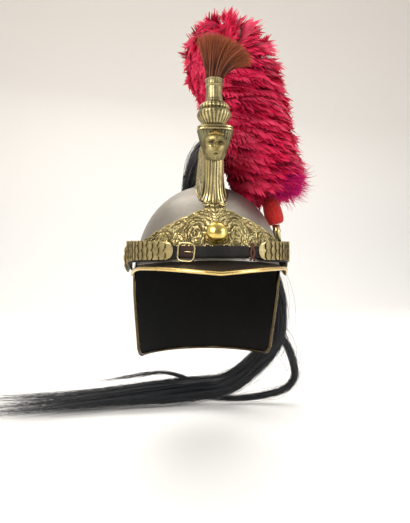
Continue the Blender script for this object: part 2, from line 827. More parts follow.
def plate_mesh():
    turn = np.radians(np.linspace(-PLATE_HALF_TURN, PLATE_HALF_TURN, PLATE_COLUMNS))[None, :]
    share = np.linspace(0, 1, PLATE_ROWS)[:, None]
    top = plate_top(turn)
    up = PLATE_BOTTOM + share * (top - PLATE_BOTTOM)
    around = turn * HALF_LENGTH + 0 * up
    height = relief_over(around, up, plate_strokes())
    from_edge = np.minimum(up - PLATE_BOTTOM, top - up)
    border = BORDER_RISE * np.sqrt(np.clip(1 - ((from_edge - BORDER_WIDTH) / BORDER_WIDTH) ** 2, 0, 1))
    height = np.maximum(height, border)
    height[np.hypot(around, up - BALL_RISE) < BALL_RADIUS] = 0
    front = on_skull(turn + 0 * up, up, PLATE_SEAT + PLATE_WALL * 0.7 + height)
    back = on_skull(turn + 0 * up, up, PLATE_SEAT)
    return marked_wall("front_plate_relief", front, back, np.clip(height / FULL_RELIEF, 0, 1))


dress(link(plate_mesh(), "front_plate_relief"), brass["stamped_brass"], ["front_plate"])


# %% [markdown]
# Turned pieces are a profile spun round an axis. The grenade's ball, the tuft's holder and the wool
# olive are all made this way, and only their profiles and their leans differ.

# %% Turned pieces
def spun_mesh(name, profile, place, sides=72, ripple=None):
    """Spins [radius, height] pairs; ripple(angle, share) may raise the surface"""
    angle = np.arange(sides) / sides * TURN
    rings = []
    for i, (radius, height) in enumerate(profile):
        reach = radius + (ripple(angle, i / (len(profile) - 1)) if ripple else 0.0)
        rings.append(np.stack([reach * np.cos(angle), reach * np.sin(angle), np.full(sides, height)], -1))
    mesh = tube_mesh(name, rings)
    mesh.transform(place)
    return mesh


def smooth_profile(points, steps=6):
    """Rounds a profile: a Catmull-Rom curve through its points"""
    points = np.asarray(points, float)
    padded = np.concatenate([[2 * points[0] - points[1]], points, [2 * points[-1] - points[-2]]])
    curve = []
    for before, start, end, after in zip(padded, padded[1:], padded[2:], padded[3:]):
        for t in np.arange(steps) / steps:
            straight = 2 * start + (end - before) * t
            bent = (2 * before - 5 * start + 4 * end - after) * t ** 2
            twisted = (3 * start - before - 3 * end + after) * t ** 3
            curve.append(0.5 * (straight + bent + twisted))
    return np.array(curve + [points[-1]])


def placed(at, towards=(0, 0, 1)):
    """A matrix in metres that stands +Z on a point in millimetres"""
    turned_to = Vector(towards).to_track_quat("Z", "Y").to_matrix().to_4x4()
    return Matrix.Translation(Vector(at) * MM) @ turned_to


BALL_SEAT = PLATE_SEAT + PLATE_WALL + 0.6
BALL_DEPTH = 9.5
BALL_COLLAR = 2.4
ball_at = on_skull(0.0, BALL_RISE, BALL_SEAT)
ball_out = on_skull(0.0, BALL_RISE, BALL_SEAT + 1) - ball_at
ball_profile = [[BALL_RADIUS, 0]]
for angle in np.linspace(0, math.pi / 2, 20)[:-1]:
    ball_profile.append([BALL_RADIUS * math.cos(angle), BALL_COLLAR + BALL_DEPTH * math.sin(angle)])
ball = link(spun_mesh("ball", ball_profile, placed(ball_at, ball_out)), "grenade_ball_polished")
dress(ball, brass["ball_brass"], ["grenade_ball"])

# %% [markdown]
# The holder that carries the tuft is one turning: a waist, a bulb with a groove round it and a tube
# with a lip. Its surface is chased with fine upright cuts, here a ripple on the mesh.

# %% Tuft holder
holder_low, holder_high = box_mm("tuft_holder")
HOLDER_HEIGHT = holder_high[2] - holder_low[2]
TOWER = np.array([0.0, -79.0])
CUTS = 26
CUT_SIDES = 6 * CUTS
DEEP_CUT = 0.28
FINE_CUT = 0.1
# Radius in millimetres and share of the height, from the foot to the tube's lip
HOLDER_PROFILE = [
    (11.5, 0), (12.6, 0.03), (13.6, 0.07), (15.8, 0.13), (17.9, 0.19), (18.6, 0.235), (18.5, 0.28),
    (17.4, 0.31), (15.6, 0.325), (15.7, 0.34), (16.9, 0.36), (17.0, 0.40), (15.4, 0.445), (13.0, 0.485),
    (10.6, 0.515), (10.3, 0.545), (9.4, 0.57), (9.1, 0.62), (8.7, 0.72), (8.6, 0.82), (8.9, 0.85),
    (9.8, 0.87), (9.2, 0.90), (9.4, 0.96), (10.2, 0.985), (10.1, 1.0),
]


def chased(angle, share):
    """Cuts, deeper below the bulb's widest place and over its groove; share counts the profile's rows"""
    cut = DEEP_CUT if share < 0.22 or 0.34 < share < 0.5 else FINE_CUT
    return cut * np.cos(angle * CUTS)


profile = [(r, u * HOLDER_HEIGHT) for r, u in HOLDER_PROFILE]
holder_place = placed((*TOWER, holder_low[2]))
holder_mesh = spun_mesh("holder", smooth_profile(profile, 4), holder_place, CUT_SIDES, chased)
radii = np.array([math.hypot(v.co.x / MM - TOWER[0], v.co.y / MM - TOWER[1]) for v in holder_mesh.vertices])
heights = np.array([v.co.z / MM - holder_low[2] for v in holder_mesh.vertices])
plain = np.interp(heights, [p[1] for p in profile], [p[0] for p in profile])
give(holder_mesh, "relief", np.clip(0.55 + (radii - plain) * 1.1, 0, 1))
dress(link(holder_mesh, "tuft_holder_turned"), brass["column_brass"], ["tuft_holder"])

# %% [markdown]
# The comb is a hollow brass casting that rises from the dome. Its front is a fluted column that spreads
# a little at the top and the foot. The flutes follow one rule round the nose of every section, so the
# comb is skinned over many sections, and then cut to the dome with a Boolean, as the founder's file
# would fit it.

# %% Comb
COMB_REACH = 90.0
COMB_HALF_WIDTH = 11.0
FLUTES = 9
FLUTE_DEPTH = 0.8
FLARE = 4.2
FLARE_HEIGHT = 8.0
# Each section: share of the height, of the front reach, of the back reach and of the width
COMB_SECTIONS = np.array([
    [0.16, 0.8, 1.07, 1.2], [0.4, 0.83, 1.05, 1.15], [0.55, 0.88, 1.01, 1], [0.68, 0.93, 0.92, 0.92],
    [0.8, 0.96, 0.72, 0.9], [0.9, 0.985, 0.4, 0.92], [0.965, 1, 0.02, 0.98], [1, 1, -0.42, 0.8],
])
NOSE_STEPS = 96
SIDE_STEPS = 16
TAIL_STEPS = 12
COMB_RINGS = 56
COMB_GAP = 0.3
PLAIN_MARK = 0.55


def dome_height(x, y):
    return SKULL_HEIGHT * np.sqrt(np.clip(1 - (x / HALF_WIDTH) ** 2 - (y / HALF_LENGTH) ** 2, 0, 1))


def flare(x, y, z):
    """How far the comb's wall spreads out just above the dome"""
    return FLARE * np.exp(-np.clip(z - dome_height(x, y), 0, None) / FLARE_HEIGHT)


def comb_ring(up, front, back, width):
    half = COMB_HALF_WIDTH * width
    front_y = -COMB_REACH * front
    back_y = HALF_LENGTH * back
    z = COMB_TOP * up
    nose = np.linspace(0, math.pi, NOSE_STEPS + 1)
    flute = np.abs(np.sin(nose * FLUTES)) ** 0.7
    radius = half - FLUTE_DEPTH + FLUTE_DEPTH * flute
    ring = [(-r * math.cos(a), front_y + half - r * math.sin(a), z) for r, a in zip(radius, nose)]
    length = back_y - front_y - 2 * half
    shares = np.arange(1, SIDE_STEPS) / SIDE_STEPS
    ring += [(half, front_y + half + s * length, z) for s in shares]
    tail = np.linspace(0, math.pi, TAIL_STEPS + 1)
    ring += [(half * math.cos(a), back_y - half + half * math.sin(a), z) for a in tail]
    ring += [(-half, front_y + half + s * length, z) for s in shares[::-1]]
    marks = np.concatenate([flute, np.full(len(ring) - len(flute), PLAIN_MARK)])
    ring = np.array(ring)
    middle = np.clip(ring[:, 1], front_y + half, back_y - half)
    out = np.stack([ring[:, 0], ring[:, 1] - middle, 0 * middle], -1)
    out /= np.linalg.norm(out, axis=1, keepdims=True) + 1e-9
    ring = ring + out * flare(ring[:, 0], ring[:, 1], z)[:, None]
    return ring, marks


def cut_by_dome(piece, lift):
    """Takes the dome's space, grown by lift, out of a closed piece"""
    rings = list(dome(lift)[::2])
    rings.insert(0, rings[0] - np.array([0, 0, SKULL_HEIGHT]))
    rings.append(dome(lift)[-1] * np.array([0.2, 0.2, 1]))
    cutter = link(tube_mesh("cutter", rings), "cutter")
    cut = piece.modifiers.new("cut", "BOOLEAN")
    cut.operation = "DIFFERENCE"
    cut.solver = "EXACT"
    cut.object = cutter
    settle(piece)
    bpy.data.objects.remove(cutter)


def settle(piece):
    """Turns a piece's modifiers into plain mesh"""
    graph = bpy.context.evaluated_depsgraph_get()
    mesh = bpy.data.meshes.new_from_object(
        piece.evaluated_get(graph), preserve_all_data_layers=True, depsgraph=graph,
    )
    piece.modifiers.clear()
    piece.data = mesh
    return piece


def comb_columns():
    """Front, back and width of the comb as smooth curves over its height"""
    return [smooth_profile(COMB_SECTIONS[:, [0, k]], 6) for k in (1, 2, 3)]


def comb_piece():
    columns = comb_columns()
    rings, marks = [], []
    for up in np.linspace(COMB_SECTIONS[0, 0], 1, COMB_RINGS):
        front, back, width = (np.interp(up, column[:, 0], column[:, 1]) for column in columns)
        ring, mark = comb_ring(up, front, back, width)
        rings.append(ring)
        marks.append(mark)
    mesh = tube_mesh("comb_shell", rings)
    give(mesh, "relief", np.concatenate([np.ravel(marks), [0.5, 0.5]]))
    piece = link(mesh, "comb_shell")
    cut_by_dome(piece, COMB_GAP)
    return piece


dress(comb_piece(), brass["column_brass"], ["comb"])

# %% [markdown]
# Both sides of the comb carry a stamped panel of the same foliage as the plate. It fills the wall
# between the dome and the comb's sloping back, inside a plain raised border.

# %% Panels on the comb's sides
PANEL_COLUMNS = 150
PANEL_ROWS = 40
PANEL_FRONT = -74.0
PANEL_BACK = 86.0
PANEL_SEED = 9
PANEL_LEAF_SPACING = (4.4, 3.6)
PANEL_FOOT = 5.0
PANEL_BORDER = 1.0
PANEL_CENTRES = [
    (14, 16, 7.0, 1), (22, 40, 9.0, -1), (44, 24, 9.0, 1), (66, 34, 9.5, -1), (88, 22, 9.0, 1),
    (108, 30, 8.0, -1), (128, 20, 6.5, 1), (146, 12, 4.5, -1),
]


def panel_strokes(top):
    """Strokes of a panel; top holds places along it and its height at each of them"""
    def rows_at(along):
        return np.arange(1.5, float(np.interp(along, *top)) - 1, PANEL_LEAF_SPACING[1])

    columns = np.arange(2, PANEL_BACK - PANEL_FRONT - 3, PANEL_LEAF_SPACING[0])
    return foliage(PANEL_SEED, PANEL_CENTRES, columns, rows_at, (0.8, 1.1), (0.8, 1.3))


def panel_mesh(side):
    _, backs, widths = comb_columns()
    heights = backs[:, 0] * COMB_TOP
    y = np.linspace(PANEL_FRONT, PANEL_BACK, PANEL_COLUMNS)[None, :]
    low = dome_height(COMB_HALF_WIDTH, y) + PANEL_FOOT
    back_y = HALF_LENGTH * backs[:, 1] - COMB_HALF_WIDTH - 2.0
    high = np.minimum(np.interp(-y, -back_y, heights), COMB_TOP - 8.0)
    high = np.maximum(high, low + 0.5)
    share = np.linspace(0, 1, PANEL_ROWS)[:, None]
    z = low + share * (high - low)
    top = ((y - PANEL_FRONT)[0], (high - low)[0])
    along = y - PANEL_FRONT + 0 * z
    height = relief_over(along, z - low, panel_strokes(top))
    edge = np.minimum(np.minimum(z - low, high - z), np.minimum(along, along.max() - along))
    height = np.maximum(height, np.sqrt(np.clip(1 - (edge - PANEL_BORDER) ** 2, 0, 1)))
    half = COMB_HALF_WIDTH * np.interp(z / COMB_TOP, widths[:, 0], widths[:, 1])
    wall = half + flare(half, y, z)
    front = np.stack([side * (wall + 0.2 + height), y + 0 * z, z], -1)
    back = np.stack([side * (wall - 0.3), y + 0 * z, z], -1)
    return marked_wall("comb_panel", front, back, np.clip(0.1 + height / 1.4, 0, 1))


SIDES = ((1, "left"), (-1, "right"))
for side, word in SIDES:
    dress(link(panel_mesh(side), "comb_panel_" + word), brass["stamped_brass"])


# %% [markdown]
# At the column's foot two pointed leaves curl out over the plate, and a thin scalloped flange runs
# back along the comb where it meets the dome. Both are sheets that ride on the dome. A leaf has a raised
# middle rib, and the flange a bead along its edge.

# %% Leaves and flange at the comb's foot
LEAF_LENGTH = 17.0
LEAF_WIDTH = 5.2
LEAF_START = 2.5
LEAF_FOOT = 74
LEAF_DROP = 11
LEAF_WALL = 1.1
FLANGE_WIDTH = 7.5
FLANGE_SPAN = (-70, 96)


def leaf_mesh(side):
    along = np.linspace(0, 1, 24)[:, None]
    across = np.linspace(-1, 1, 13)[None, :]
    width = LEAF_WIDTH * np.sin(np.clip(along * 0.9 + 0.1, 0, 1) * math.pi) ** 0.6 * (1 - 0.35 * along)
    around = side * (LEAF_START + LEAF_LENGTH * along * (0.55 + 0.45 * along)) + 0 * across
    up = LEAF_FOOT - LEAF_DROP * np.sin(along * math.pi * 0.55) + width * across * 0.62
    curl = 3.4 + 2.2 * along ** 2
    height = curl + 1.5 * np.sqrt(np.clip(1 - across ** 2, 0, 1)) + 0.5 * (1 - np.abs(across) * 4).clip(0, 1)
    turn = around / HALF_LENGTH
    mark = 0.35 + 0.6 * (np.abs(across) > 0.7) + 0.3 * (np.abs(across) < 0.2) + 0 * along
    return marked_wall("leaf", on_skull(turn, up, height), on_skull(turn, up, height - LEAF_WALL), mark)


def flange_mesh(side):
    """A strip on the dome beside the comb, from its front foot to its back"""
    along = np.linspace(*FLANGE_SPAN, 120)[:, None]
    out = np.linspace(0, 1, 8)[None, :]
    foot = COMB_HALF_WIDTH * 1.02
    reach = FLANGE_WIDTH * (0.62 + 0.38 * np.abs(np.sin(along / 11)))
    x = side * (foot - 2 + (reach + 2) * out)
    y = along + 0 * out
    point = np.stack([x, y, dome_height(x, y)], -1)
    normal = point / np.array([HALF_WIDTH, HALF_LENGTH, SKULL_HEIGHT]) ** 2
    normal /= np.linalg.norm(normal, axis=-1, keepdims=True)
    bead = np.exp(-((out - 0.86) / 0.12) ** 2)
    rise = 0.5 + 1.5 * (1 - out) ** 2 + 0.7 * bead + 0 * along
    mark = 0.4 + 0.55 * bead + 0 * along
    return marked_wall("flange", point + normal * rise[..., None], point + normal * 0.3, mark)


for side, word in SIDES:
    dress(link(leaf_mesh(side), "foot_leaf_" + word), brass["column_brass"])
    dress(link(flange_mesh(side), "comb_flange_" + word), brass["column_brass"])

# %% [markdown]
# The mask on the comb is plain and generic: half an egg, with features laid on it at the places that
# any drawing book gives. The brow is a third of the way down from the hairline, the nose ends at two
# thirds, and the mouth is a third of the way from the nose to the chin. Each feature is a soft bump or
# hollow in the face's height.

# %% Mask
MASK_HALF_WIDTH = 13.8
MASK_CHIN = 112.0
MASK_HEIGHT = 32.0
MASK_DEPTH = 11.5
MASK_BACK = -86.4
MASK_COLUMNS = 88
MASK_ROWS = 96
MASK_TURN = math.radians(88)
MASK_OVAL = 0.97
MASK_SEAT = 1.4
JAW_NARROWING = 0.3
EGG_DEPTH = 0.85
FEATURE_DEPTH = 2.1
NOSE_TOP = 0.2
NOSE_LENGTH = 0.53
NOSE_END = -0.4
HAIRLINE = 0.6
HAIR_SLOPE = 0.08
HAIR_WAVES = 26
# Each feature: across, up, half width, half height and rise, in shares of the half face. The first ones
# stand on both sides, the middle ones once.
FEATURES = {
    "brow": (0.38, 0.225, 0.24, 0.045, 0.09), "socket": (0.38, 0.08, 0.24, 0.09, -0.12),
    "eye": (0.38, 0.06, 0.17, 0.045, 0.09), "lid": (0.38, 0.115, 0.19, 0.02, 0.05),
    "cheek": (0.46, -0.22, 0.2, 0.2, 0.07), "wing": (0.11, -0.35, 0.06, 0.05, 0.08),
    "corner": (0.2, -0.6, 0.05, 0.03, -0.03),
}
MIDDLE_FEATURES = {
    "upper_lip": (0, -0.555, 0.15, 0.032, 0.11), "lower_lip": (0, -0.665, 0.115, 0.04, 0.1),
    "mouth": (0, -0.61, 0.17, 0.016, -0.07), "chin": (0, -0.88, 0.17, 0.1, 0.12),
    "tip": (0, -0.33, 0.075, 0.06, 0.16), "forehead": (0, 0.5, 0.5, 0.25, 0.05),
}


def soft(value, centre, half):
    return np.exp(-((value - centre) / half) ** 2)


def mask_relief(across, up):
    """Height of the features, as a share of the mask's depth"""
    height = 0 * across
    for x, y, wide, tall, rise in FEATURES.values():
        height += rise * soft(np.abs(across), x, wide) * soft(up, y, tall)
    for x, y, wide, tall, rise in MIDDLE_FEATURES.values():
        height += rise * soft(across, x, wide) * soft(up, y, tall)
    bridge = np.clip((NOSE_TOP - up) / NOSE_LENGTH, 0, 1) * (up > NOSE_END)
    height += (0.06 + 0.24 * bridge) * soft(across, 0, 0.055 + 0.03 * bridge) * soft(up, -0.1, 0.3)
    hair = np.clip((up - HAIRLINE) / HAIR_SLOPE, 0, 1)
    waves = 0.5 + 0.5 * np.cos(HAIR_WAVES * np.abs(across) + 9 * np.sin(5 * up))
    parting = 1 - soft(across, 0, 0.04)
    height += hair * (0.12 + 0.09 * waves * parting)
    return height


def mask_mesh():
    across = np.linspace(-1, 1, MASK_COLUMNS)[None, :]
    up = np.linspace(-1, 1, MASK_ROWS)[:, None]
    turn = across * MASK_TURN
    jaw = 1 - JAW_NARROWING * np.clip(-up, 0, 1) ** 1.3
    oval = np.sqrt(np.clip(1 - (MASK_OVAL * up) ** 2, 0.0, 1)) * jaw
    height = mask_relief(np.sin(turn) + 0 * up, up + 0 * across)
    depth = MASK_DEPTH * (EGG_DEPTH * oval * np.cos(turn) + FEATURE_DEPTH * height * np.cos(turn) ** 0.5)
    x = MASK_HALF_WIDTH * oval * np.sin(turn)
    y = MASK_BACK - MASK_SEAT - depth
    z = MASK_CHIN + MASK_HEIGHT * 0.5 * (1 + up) + 0 * across
    front = np.stack([x, y, z], -1)
    back = np.stack([x * 0.96, 0 * x + MASK_BACK - 0.6, z], -1)
    return marked_wall("mask_face", front, back, np.clip(0.50 + 6.0 * (height - 0.05), 0, 1))


# %% [markdown]
# Behind the face stand a ribbed hood and the two mouldings of a diadem. Seen from above each is half a
# ring round the comb's front, and its width and depth change with the height, so each is one grid of
# points with a wall's thickness.

# %% Hood and cornice behind the mask
HOOD_FOOT = 114
HOOD_HEIGHT = 30
HOOD_RIBS = 30
HOOD_TURN = math.radians(84)
# Half the width and the depth at the jaw, and how much each gains up to the cornice
HOOD_HALF, HOOD_WIDER = 9.0, 10.6
HOOD_DEEP, HOOD_DEEPER = 2.5, 8.0


def hood_mesh():
    """The hood behind the face: wide under the cornice, narrow at the jaw"""
    share = np.linspace(0, 1, 30)[:, None]
    around = np.linspace(-1, 1, 49)[None, :] * HOOD_TURN
    half = HOOD_HALF + HOOD_WIDER * share ** 0.75
    deep = HOOD_DEEP + HOOD_DEEPER * share ** 0.8
    ribs = 0.22 * np.cos(around * HOOD_RIBS) * share
    x = (half + ribs) * np.sin(around)
    y = MASK_BACK + 1.2 - (deep + ribs) * np.cos(around) ** 0.7
    z = HOOD_FOOT + HOOD_HEIGHT * share + 0 * around
    front = np.stack([x, y, z], -1)
    back = np.stack([x * 0.9, 0 * x + MASK_BACK + 1.0, z], -1)
    return marked_wall("hood", front, back, 0.25 + 0.9 * ribs)


CORNICE_HALF_WIDTH = 20.0
CORNICE_DEPTH = 13.0
CORNICE_FOOT = 143.5
CORNICE_HEIGHT = 6.4
CORNICE_BACK = MASK_BACK + 2.0
CORNICE_TURN = math.radians(80)
CORNICE_LOBES = 3.4
LOBE_HEIGHT = 0.4
# Shares of the reach and of the height, from the lower edge to the upper one
CORNICE_PROFILE = [
    (0.90, 0), (0.96, 0.08), (1.0, 0.2), (1.0, 0.36), (0.94, 0.44), (0.93, 0.5), (0.98, 0.58), (0.99, 0.74),
    (0.94, 0.86), (0.84, 0.95), (0.7, 1.0),
]


def cornice_mesh():
    """The diadem's two mouldings, an arch in plan with a lobed upper edge"""
    around = np.linspace(-1, 1, 81)[None, :] * CORNICE_TURN
    profile = np.array(CORNICE_PROFILE)
    out, rise = profile[:, 0][:, None], profile[:, 1][:, None]
    lobes = LOBE_HEIGHT * np.abs(np.cos(around * CORNICE_LOBES)) * rise
    x = CORNICE_HALF_WIDTH * out * np.sin(around)
    y = CORNICE_BACK - CORNICE_DEPTH * out * np.cos(around) ** 0.6
    z = CORNICE_FOOT + (CORNICE_HEIGHT + lobes) * rise
    front = np.stack([x, y, z], -1)
    back = np.stack([x * 0.6, 0 * x + CORNICE_BACK, z], -1)
    return marked_wall("cornice", front, back, 0.25 + 0.6 * (out > 0.97) + 0 * around)


dress(link(mask_mesh(), "mask_face"), brass["stamped_brass"], ["comb_mask"])
dress(link(hood_mesh(), "mask_hood"), brass["column_brass"])
dress(link(cornice_mesh(), "mask_cornice"), brass["column_brass"])


# %% [markdown]
# The strap, its laces and the rosettes all follow one oval band round the helmet, as the chin scales do.
# `on_band` gives a point on it at a distance from the brow, measured along the band, as a strap maker
# would.

# %% The band
BAND_HALF_WIDTH = HALF_WIDTH + 8.5
BAND_HALF_LENGTH = HALF_LENGTH + 4.0
BAND_END = 2.2
band_turns = np.linspace(0, BAND_END, 700)
band_path = np.stack([BAND_HALF_WIDTH * np.sin(band_turns), -BAND_HALF_LENGTH * np.cos(band_turns)], -1)
band_arcs = np.concatenate([[0], np.cumsum(np.linalg.norm(np.diff(band_path, axis=0), axis=1))])


def on_band(arc, height, lift=0.0):
    arc, height, lift = np.broadcast_arrays(arc, height, lift)
    turn = np.sign(arc) * np.interp(np.abs(arc), band_arcs, band_turns)
    x, y = BAND_HALF_WIDTH * np.sin(turn), -BAND_HALF_LENGTH * np.cos(turn)
    normal = np.stack([x / BAND_HALF_WIDTH ** 2, y / BAND_HALF_LENGTH ** 2], -1)
    normal /= np.linalg.norm(normal, axis=-1, keepdims=True)
    return np.stack([x + normal[..., 0] * lift, y + normal[..., 1] * lift, height + 0 * x], -1)


# %% [markdown]
# The strap over the visor is a strip of old leather: a little crowned, creased along both edges by
# years of buckling, and slightly wavy. Its part behind the buckle is worn, and flat laces tie its other
# end. The leather under the scales is a plain smooth copy.

# %% Strap, lace and backing leather
LEATHER_WALL = 1.6
STRAP_LIFT = 1.9
STRAP_START = -39.7
STRAP_END = 33.0
STRAP_BOTTOM = 8.0
STRAP_WIDTH = 12.4
STRAP_EDGE = 0.25
CREASE_DEPTH = 0.28
CREASE_PLACE = 0.8
LACE_SIDES = 12
LACE_HALF_WIDTH = 1.25
LACE_HALF_WALL = 0.55


def strap_mesh():
    arc = np.linspace(STRAP_START, STRAP_END, 150)[None, :]
    across = np.linspace(-1, 1, 25)[:, None]
    wave = 0.25 * np.sin(arc / 9.0) + 0.2 * np.sin(arc / 4.1 + 1)
    height = STRAP_BOTTOM + STRAP_WIDTH * (0.5 + 0.5 * across) + wave
    crown = 1 - np.abs(across) ** 7
    crease = CREASE_DEPTH * np.exp(-((np.abs(across) - CREASE_PLACE) / 0.05) ** 2)
    swell = 0.3 * (1 - across ** 2) + 0.12 * np.sin(arc / 5.3)
    lift = STRAP_LIFT + STRAP_EDGE + (LEATHER_WALL - STRAP_EDGE) * crown + swell * 0.5 - crease
    arc = arc + 0 * across
    return wall_mesh("strap", on_band(arc, height, lift), on_band(arc, height, STRAP_LIFT))


def lace_mesh(path):
    """A flat lace along places given as [along the band, height, lift]"""
    angle = np.linspace(0, TURN, LACE_SIDES + 1)[:-1]
    rings = [
        on_band(arc + LACE_HALF_WIDTH * np.cos(angle), height, lift + LACE_HALF_WALL * np.sin(angle))
        for arc, height, lift in smooth_profile(path, 8)
    ]
    return tube_mesh("lace", rings)


LACES = {
    "lace_front": [(34.6, 5.0, 3.0), (35.6, 9, 3.1), (34.9, 14, 3.4), (36.4, 19, 3.2), (36.0, 23.6, 2.8)],
    "lace_back": [(39.8, 4.6, 2.8), (38.2, 9, 3.0), (39.4, 14, 3.2), (38.0, 18.5, 3.1), (38.8, 22.8, 2.8)],
    "lace_knot": [(33.4, 8.2, 4.2), (35.6, 7.4, 4.6), (38.0, 7.9, 4.6), (40.6, 7.0, 4.2)],
}
BUCKLE_SPAN = (-41.5, -22.5)
strap = dress(link(strap_mesh(), "brow_strap"), LEATHER, ["front_strap"])
strap.data.materials.append(WORN_LEATHER)
for face in strap.data.polygons:
    if BUCKLE_SPAN[0] < face.center.x / MM < BUCKLE_SPAN[1]:
        face.material_index = 1
for name, path in LACES.items():
    stands_for = ["strap_thong"] if name == "lace_front" else []
    dress(link(lace_mesh(path), name), THONG, stands_for)
for side in ("left", "right"):
    smooth_copy("scale_leather_" + side, ["scale_backing_" + side], LEATHER, edge=0.35)


# %% [markdown]
# A rosette holds each strip of scales over the ear. It is a disc with two rings of petals round a
# boss, so its height is one rule of the distance from the middle and the angle.

# %% Rosettes
ROSETTE_TURN = math.radians(97)
ROSETTE_HEIGHT = 9.0
ROSETTE_RADIUS = 18.2
ROSETTE_LIFT = 4.6
ROSETTE_DEPTH = 5.0
ROSETTE_SIDES = 160
ROSETTE_RINGS = 44
PETALS = 8
PETAL_RISE = 1.5
# Where a ring of petals begins and how wide it is, in shares of the radius
OUTER_PETALS = (1, 0.42)
INNER_PETALS = (0.62, 0.34)
BOSS_SHARE = 0.26
BOSS_RISE = 2.4


def rosette_mesh(place):
    angle = np.arange(ROSETTE_SIDES) / ROSETTE_SIDES * TURN
    rings = [np.stack([r * np.cos(angle), r * np.sin(angle), 0 * angle], -1) for r in (1.0, ROSETTE_RADIUS)]
    marks = [0 * angle, 0.2 + 0 * angle]
    outer = np.abs(np.cos(angle * PETALS / 2)) ** 0.7
    inner = np.abs(np.sin(angle * PETALS / 2)) ** 0.7
    for share in np.linspace(1, 0.04, ROSETTE_RINGS):
        edge = ROSETTE_RADIUS * share * (1 - 0.05 * (1 - outer) * share)
        petal, second = (
            shape * np.sin(np.clip((start - share) / width, 0, 1) * math.pi) * PETAL_RISE
            for shape, (start, width) in ((outer, OUTER_PETALS), (inner, INNER_PETALS))
        )
        boss = BOSS_RISE * math.sqrt(max(0, 1 - (share / BOSS_SHARE) ** 2))
        base = 1.0 + 1.6 * (1 - share) ** 0.7
        height = np.minimum(base + petal + second + boss, ROSETTE_DEPTH)
        rings.append(np.stack([edge * np.cos(angle), edge * np.sin(angle), height], -1))
        marks.append(np.clip(0.25 + 0.5 * (petal + second) + 0.3 * boss, 0, 1))
    mesh = tube_mesh("rosette", rings)
    mesh.transform(place)
    give(mesh, "relief", np.concatenate([np.ravel(marks), [0, 1]]))
    return mesh


for side, word in SIDES:
    arc = side * float(np.interp(ROSETTE_TURN, band_turns, band_arcs))
    at = on_band(arc, ROSETTE_HEIGHT, ROSETTE_LIFT)
    out = on_band(arc, ROSETTE_HEIGHT, ROSETTE_LIFT + 1) - at
    piece = link(rosette_mesh(placed(at, out)), "rosette_" + word + "_petals")
    dress(piece, brass["stamped_brass"], ["rosette_" + word])


# %% [markdown]
# The rest is made of strands. A Geometry Nodes tree turns polylines into flat ribbons. Each strand's
# own width, roll and tint are attributes on the polyline's points, so one tree serves hair, bristles
# and down, and only the guide lines differ.

# %% Strand tree
def named(tree, name, kind="FLOAT"):
    node = add(tree, "GeometryNodeInputNamedAttribute", data_type=kind)
    node.inputs["Name"].default_value = name
    return node.outputs["Attribute"]


def realized_and_painted(tree, made, material):
    """Every tree here ends so: instances become real mesh, and the mesh gets its material"""
    realized = add(tree, "GeometryNodeRealizeInstances")
    feed(tree, realized, Geometry=made)
    painted = add(tree, "GeometryNodeSetMaterial")
    feed(tree, painted, Geometry=realized.outputs[0], Material=material)
    return painted.outputs[0]


def strand_tree():
    inputs = [("Guides", "Geometry", None), ("Strand Width", "Float", None), ("Material", "Material", None)]
    tree, given, result = group_tree("strands", inputs, [("Strands", "Geometry")], "Geometry")
    curves = feed(tree, add(tree, "GeometryNodeMeshToCurve"), Mesh=given["Guides"])
    rolled = add(tree, "GeometryNodeSetCurveTilt")
    feed(tree, rolled, Curve=curves.outputs[0], Tilt=named(tree, "roll"))
    ribbon = add(tree, "GeometryNodeCurvePrimitiveLine")
    for end, share in (("Start", -0.5), ("End", 0.5)):
        corner = add(tree, "ShaderNodeCombineXYZ")
        feed(tree, corner, X=reckon(tree, "MULTIPLY", given["Strand Width"], share))
        join(tree, corner.outputs[0], ribbon.inputs[end])
    skin = add(tree, "GeometryNodeCurveToMesh")
    feed(tree, skin, Curve=rolled.outputs[0], Profile_Curve=ribbon.outputs[0], Scale=named(tree, "radius"))
    feed(tree, result, Strands=realized_and_painted(tree, skin.outputs[0], given["Material"]))
    return tree


def grow(piece, tree, **values):
    """Runs a tree on a piece, with its inputs set by identifier, and keeps the result as plain mesh"""
    grown = piece.modifiers.new("grow", "NODES")
    grown.node_group = tree
    identifiers = {item.name: item.identifier for item in tree.interface.items_tree}
    for name, value in values.items():
        grown[identifiers[name.replace("_", " ")]] = value
    return settle(piece)


# %% Strands along guide lines
STRANDS = strand_tree()
STRAND_WIDTHS = (0.7, 1.15)


def strands_piece(name, paths, width, material, seed, taper=0.25, nodes=()):
    """Ribbons along paths of shape (strands, points, 3) in millimetres"""
    draw = np.random.default_rng(seed)
    count, steps = paths.shape[:2]
    mesh = bpy.data.meshes.new(name)
    start = np.arange(count)[:, None] * steps + np.arange(steps - 1)[None, :]
    edges = np.stack([start, start + 1], -1).reshape(-1, 2)
    mesh.from_pydata((paths.reshape(-1, 3) * MM).tolist(), edges.tolist(), [])
    along = np.broadcast_to(np.linspace(0, 1, steps)[None, :], (count, steps))
    give(mesh, "along", along)
    give(mesh, "radius", draw.uniform(*STRAND_WIDTHS, (count, 1)) * (1 - (1 - taper) * along ** 2.5))
    give(mesh, "tint", np.repeat(draw.uniform(0, 1, (count, 1)), steps, 1))
    give(mesh, "roll", np.repeat(draw.uniform(0, math.pi, (count, 1)), steps, 1))
    piece = grow(link(mesh, name), STRANDS, Strand_Width=width * MM, Material=material)
    piece.data.shade_smooth()
    return dress(piece, material, nodes)


# %% [markdown]
# The tuft is a brush of stiff red-brown hair. Its hairs stand close together in the tube and open into
# a fan that leans to the wearer's left, and their tips end in an uneven dome.

